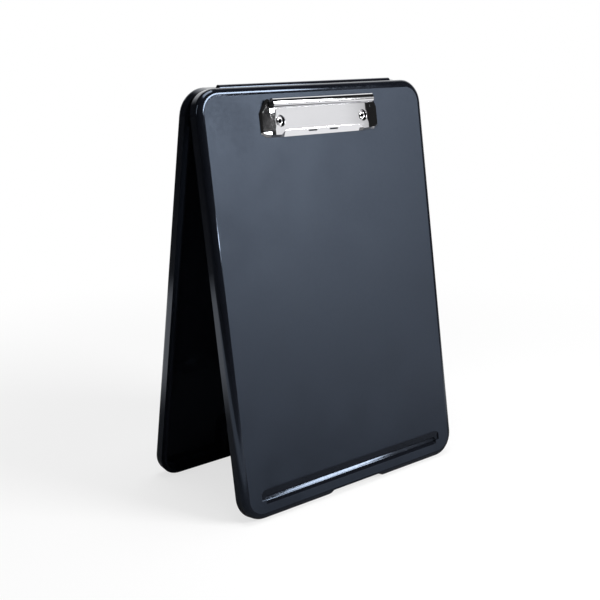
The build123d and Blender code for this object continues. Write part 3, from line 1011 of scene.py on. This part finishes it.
@dataclass
class HollowRivets:
    """Two hollow rivets, rolled over the base plate in front and the washers behind.

    A rolled head's inner and outer curve each give the angles of their points, and the
    height of their foot and their rise as shares of the head's height.
    """

    bore: float = 1.5 * MM
    shank: float = 2.0 * MM
    head: float = 3.4 * MM
    front_z: float = 11.9 * MM
    front_height: float = 1.3 * MM
    back_z: float = 8.2 * MM
    back_height: float = 0.9 * MM
    crown_share: float = 0.36
    inner_curve: tuple = ((150, 125, 100, 78), 0.35, 0.65)
    outer_curve: tuple = ((58, 40, 24, 10), 0.12, 0.86)
    sides: int = 56
    smooth_below: float = 50.0

    def _rolled(self, seat: float, height: float, way: int) -> list[tuple[float, float]]:
        """Profile of a rolled head from its bore to its seat on the sheet.

        Args:
            seat: Height of the sheet that the head presses on.
            height: How far the head stands proud.
            way: One for a head that stands up, minus one for one that hangs down.

        Returns:
            Radius and height of each point.
        """
        crown = self.bore + (self.head - self.bore) * self.crown_share
        points = [(self.bore, seat + way * height * self.inner_curve[1])]
        for reach, (turns, foot, rise) in ((crown - self.bore, self.inner_curve),
                                           (self.head - crown, self.outer_curve)):
            for angle in map(math.radians, turns):
                points.append((crown + reach * math.cos(angle),
                               seat + way * height * (foot + rise * math.sin(angle))))
        points.append((self.head, seat))
        return points

    def build(self) -> bpy.types.Object:
        """Model both rivets as one piece.

        Returns:
            The finished object.
        """
        front = self._rolled(self.front_z, self.front_height, 1)
        back = self._rolled(self.back_z, self.back_height, -1)
        profile = front + [(self.shank, self.front_z), (self.shank, self.back_z)]
        profile += back[::-1]
        middle = Vector((WINDOW_X, -WINDOW_V, 0))
        first = Bench.turned("clip_rivets_rolled", middle, profile, self.sides)
        first.join(first.copy(x=-2 * WINDOW_X))
        rivets = first.finish(Half.COVER, self.smooth_below)
        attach(rivets, "cover")
        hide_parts("clip_rivets")
        return rivets


# ---------------------------- the pen groove
@dataclass
class PenGroove:
    """Smooth ledge along the pen groove, tilted so that it faces up and catches light.

    Each of its edges is given by its distance down from the hinge and its z.
    """

    half_length: float = 96.8 * MM
    upper: tuple = (318.0 * MM, 8.9 * MM)
    lower: tuple = (320.1 * MM, 9.66 * MM)
    foot: tuple = (320.3 * MM, 8.2 * MM)
    edge_round: float = 0.25 * MM
    edge_faces: int = 4
    smooth_below: float = 40.0

    def build(self) -> bpy.types.Object:
        """Model the ledge.

        Returns:
            The finished object.
        """
        low = Vector((-self.half_length, -self.foot[0], self.foot[1]))
        high = Vector((self.half_length, -self.upper[0], self.lower[1]))
        bench = Bench.between("pen_groove_ledge", low, high)
        with bench.editing():
            top = self.lower[1] - NEAR
            middle = (low.y + high.y) / 2
            bench.pick_points(lambda at: at.z > top and at.y > middle)
            bench.move(z=self.upper[1] - self.lower[1])
            bench.pick_points(lambda at: at.z > top and at.y < middle)
            bench.move(y=self.foot[0] - self.lower[0])
            bench.pick_edges(lambda edge: all(end.co.z > top for end in edge.verts))
            bpy.ops.mesh.bevel(offset=self.edge_round, segments=self.edge_faces)
        ledge = bench.finish(Half.COVER, self.smooth_below)
        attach(ledge, "cover")
        return ledge


# ---------------------------- studio
def set_up(name: str, data: bpy.types.ID, target: tuple, azimuth: float, elevation: float,
           distance: float) -> bpy.types.Object:
    """Add a lamp or a camera that looks at a point.

    Args:
        name: The object's name.
        data: The lamp or the camera.
        target: The point that it looks at.
        azimuth: Its direction from the point, from the front towards the right.
        elevation: Its angle above the point.
        distance: Its distance from the point.

    Returns:
        The new object.
    """
    item = bpy.data.objects.new(name, data)
    bpy.context.scene.collection.objects.link(item)
    turn, rise = math.radians(azimuth), math.radians(elevation)
    out = Vector((math.sin(turn) * math.cos(rise), -math.cos(turn) * math.cos(rise),
                  math.sin(rise)))
    item.location = Vector(target) + out * distance
    item.rotation_mode = "QUATERNION"
    item.rotation_quaternion = (-out).to_track_quat("-Z", "Y")
    return item


@dataclass(frozen=True)
class Softbox:
    """A rectangular area lamp with soft edges, placed by its direction from the object."""

    name: str
    azimuth: float
    elevation: float
    distance: float
    width: float
    height: float
    radiance: float
    soft_edge: float = 0.12
    centre: tuple = (0.0, 0.0, 0.17)

    def _soften(self, data: bpy.types.AreaLight) -> None:
        """Let the lamp's light fall off towards its left and right edges.

        Args:
            data: The lamp.
        """
        net = Nodes.of(data)
        across = net.split(net.add("ShaderNodeNewGeometry").outputs["Parametric"])[0]
        inset = net.math("ABSOLUTE", net.math("SUBTRACT", across, 0.5))
        emission = net.add("ShaderNodeEmission")
        net.put(net.step(inset, 0.5 - self.soft_edge, 0.5, 1.0, 0.0),
                emission.inputs["Strength"])
        net.put(emission.outputs[0], net.add("ShaderNodeOutputLight").inputs["Surface"])

    def build(self) -> bpy.types.Object:
        """Add the lamp.

        Returns:
            The lamp's object.
        """
        data = bpy.data.lights.new(self.name, "AREA")
        data.shape = "RECTANGLE"
        data.size, data.size_y = self.width, self.height
        data.energy = math.pi * self.width * self.height * self.radiance
        self._soften(data)
        lamp = set_up(self.name, data, self.centre, self.azimuth, self.elevation,
                      self.distance)
        lamp.visible_camera = False
        return lamp


@dataclass
class Studio:
    """Pale floor, plain soft light and the camera at the photograph's viewing angle.

    A pair whose name ends in fade or rim gives where a soft change starts and ends.
    """

    azimuth: float = -39.88
    elevation: float = 15.04
    distance: float = 0.91445
    aim: tuple = (0.0002, 0.0177, 0.13905)
    focal_length: float = 63.117
    sensor_width: float = 36.0
    shift: tuple = (0.00923, 0.01351)
    clip: tuple = (0.01, 100.0)
    backdrop_way: tuple = (0.66, 0.75, 0.0)
    backdrop_fade: tuple = (0.45, 0.80)
    backdrop_glow: float = 1.8
    ceiling_fade: tuple = (0.8, 1.0)
    ceiling_glow: tuple = (0.02, 0.25)
    room_glow: float = 0.20
    floor_radius: float = 6.0
    floor_sides: int = 96
    floor_grey: Color = (0.88, 0.88, 0.88)
    mirrored_grey: Color = (0.15, 0.15, 0.15)
    shadow_fade: tuple = (0.20, 0.75)
    shadow_white: float = 0.70
    sweep_inner_rim: tuple = (0.26, 0.44)
    sweep_outer_rim: tuple = (0.70, 0.90)
    # name, azimuth, elevation, distance, width, height, radiance, soft edge, centre
    lamps: tuple = (
        Softbox("key_softbox", 29.5, 28.0, 1.45, 0.72, 0.42, 25.0),
        Softbox("low_strip", 33.5, 21.8, 0.70, 0.34, 0.032, 27.0, 0.10, (0, -0.065, 0.02)),
        Softbox("low_reflector", 39.0, 8.0, 1.30, 0.46, 0.44, 0.9, 0.32),
        Softbox("top_softbox", 0.0, 86.0, 1.25, 0.80, 0.60, 7.0),
        Softbox("rim_softbox", -98.0, 30.0, 1.30, 0.16, 0.60, 4.0),
    )

    def camera(self) -> None:
        """Place the camera."""
        data = bpy.data.cameras.new("camera")
        data.sensor_width = self.sensor_width
        data.lens = self.focal_length
        data.shift_x, data.shift_y = self.shift
        data.clip_start, data.clip_end = self.clip
        bpy.context.scene.camera = set_up("camera", data, self.aim, self.azimuth,
                                          self.elevation, self.distance)

    def world(self) -> None:
        """White surroundings for the camera, a dim room with a backdrop for reflections."""
        world = bpy.data.worlds.new("studio")
        bpy.context.scene.world = world
        net = Nodes.of(world)
        path = net.add("ShaderNodeLightPath").outputs
        direction = net.add("ShaderNodeTexCoord").outputs["Generated"]
        facing = net.along(direction, self.backdrop_way)
        backdrop = net.step(facing, *self.backdrop_fade, 0.0, self.backdrop_glow)
        ceiling = net.step(net.split(direction)[2], *self.ceiling_fade, *self.ceiling_glow)
        gloss = net.add("ShaderNodeBackground")
        net.put(net.math("MAXIMUM", backdrop, ceiling), gloss.inputs["Strength"])
        soft = net.add("ShaderNodeBackground")
        soft.inputs["Strength"].default_value = self.room_glow
        white = net.add("ShaderNodeBackground")
        white.inputs["Color"].default_value = (1, 1, 1, 1)
        white.inputs["Strength"].default_value = 1.0
        inner = net.mix(path["Is Glossy Ray"], soft.outputs[0], gloss.outputs[0])
        seen = net.math("MAXIMUM", path["Is Camera Ray"], path["Is Transmission Ray"])
        out = net.add("ShaderNodeOutputWorld")
        net.put(net.mix(seen, inner, white.outputs[0]), out.inputs["Surface"])

    def floor(self) -> None:
        """Round pale floor that keeps the shadow near the box and fades to white."""
        bpy.ops.object.select_all(action="DESELECT")
        bpy.ops.mesh.primitive_circle_add(vertices=self.floor_sides, fill_type="NGON",
                                          radius=self.floor_radius)
        floor = bpy.context.object
        floor.name = "floor"
        material = bpy.data.materials.new("pale_floor")
        net = Nodes.of(material)
        length = net.add("ShaderNodeVectorMath", operation="LENGTH")
        net.put(net.add("ShaderNodeTexCoord").outputs["Object"], length.inputs[0])
        away = length.outputs["Value"]
        path = net.add("ShaderNodeLightPath").outputs
        far = net.step(away, *self.shadow_fade, self.shadow_white, 1.0)
        sweep = net.math("MULTIPLY", net.step(away, *self.sweep_inner_rim),
                         net.step(away, *self.sweep_outer_rim, 1.0, 0.0))
        seen = net.math("ADD", net.math("MULTIPLY", far, path["Is Camera Ray"]),
                        net.math("MULTIPLY", sweep, path["Is Glossy Ray"]))
        diffuse = net.add("ShaderNodeBsdfDiffuse")
        net.put(net.blend(path["Is Glossy Ray"], self.floor_grey, self.mirrored_grey),
                diffuse.inputs["Color"])
        white = net.add("ShaderNodeEmission")
        white.inputs["Strength"].default_value = 1.0
        out = net.add("ShaderNodeOutputMaterial")
        net.put(net.mix(seen, diffuse.outputs[0], white.outputs[0]), out.inputs["Surface"])
        floor.data.materials.append(material)

    def build(self) -> None:
        """Set up the camera, the surroundings, the floor and the lamps."""
        self.camera()
        self.world()
        self.floor()
        for lamp in self.lamps:
            lamp.build()
        bpy.context.scene.view_settings.view_transform = "Standard"


def dress(piece: bpy.types.Object, material: bpy.types.Material) -> None:
    """Give a piece its finish.

    Args:
        piece: The piece's object.
        material: The finish.
    """
    piece.data.materials.clear()
    piece.data.materials.append(material)
    log.info("dressed %s in %s", piece.name, material.name)


def main() -> None:
    """Build the scene."""
    logging.basicConfig(level=logging.INFO, format="%(message)s")
    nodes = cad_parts
    band = SmoothBand(half_length=96.9 * MM, upper=316.9 * MM, lower=323.2 * MM)
    cover = MouldedPlastic("cover_moulded", Half.COVER, band).make()
    dress(nodes["front_cover"], cover)
    dress(PenGroove().build(), cover)
    dress(nodes["rear_tray"], MouldedPlastic("tray_moulded", Half.TRAY).make())
    dress(nodes["latch_tab"], SatinPlastic("latch_satin").make())
    base = PlatedSteel("base_nickel", color=(0.70, 0.70, 0.72)).make()
    dress(nodes["clip_base_plate"], base)
    drawn = PlatedSteel("drawn_steel", color=(0.56, 0.56, 0.58), roughness=0.25,
                        line_depth=0.004 * MM).make()
    for node in ("hinge_rod", "latch_pin", "clip_rod", "rivet_washers"):
        dress(nodes[node], drawn)
    springs = PlatedSteel("spring_wire", color=(0.40, 0.40, 0.42), roughness=0.28,
                          line_depth=0.004 * MM).make()
    for node in ("latch_spring", "clip_spring"):
        dress(nodes[node], springs)
    dress(ClipJaw().build(), PlatedSteel("clip_nickel").make())
    dress(HollowRivets().build(), PlatedSteel("rivet_nickel", roughness=0.09).make())
    Studio().build()


if __name__ == "__main__":
    main()
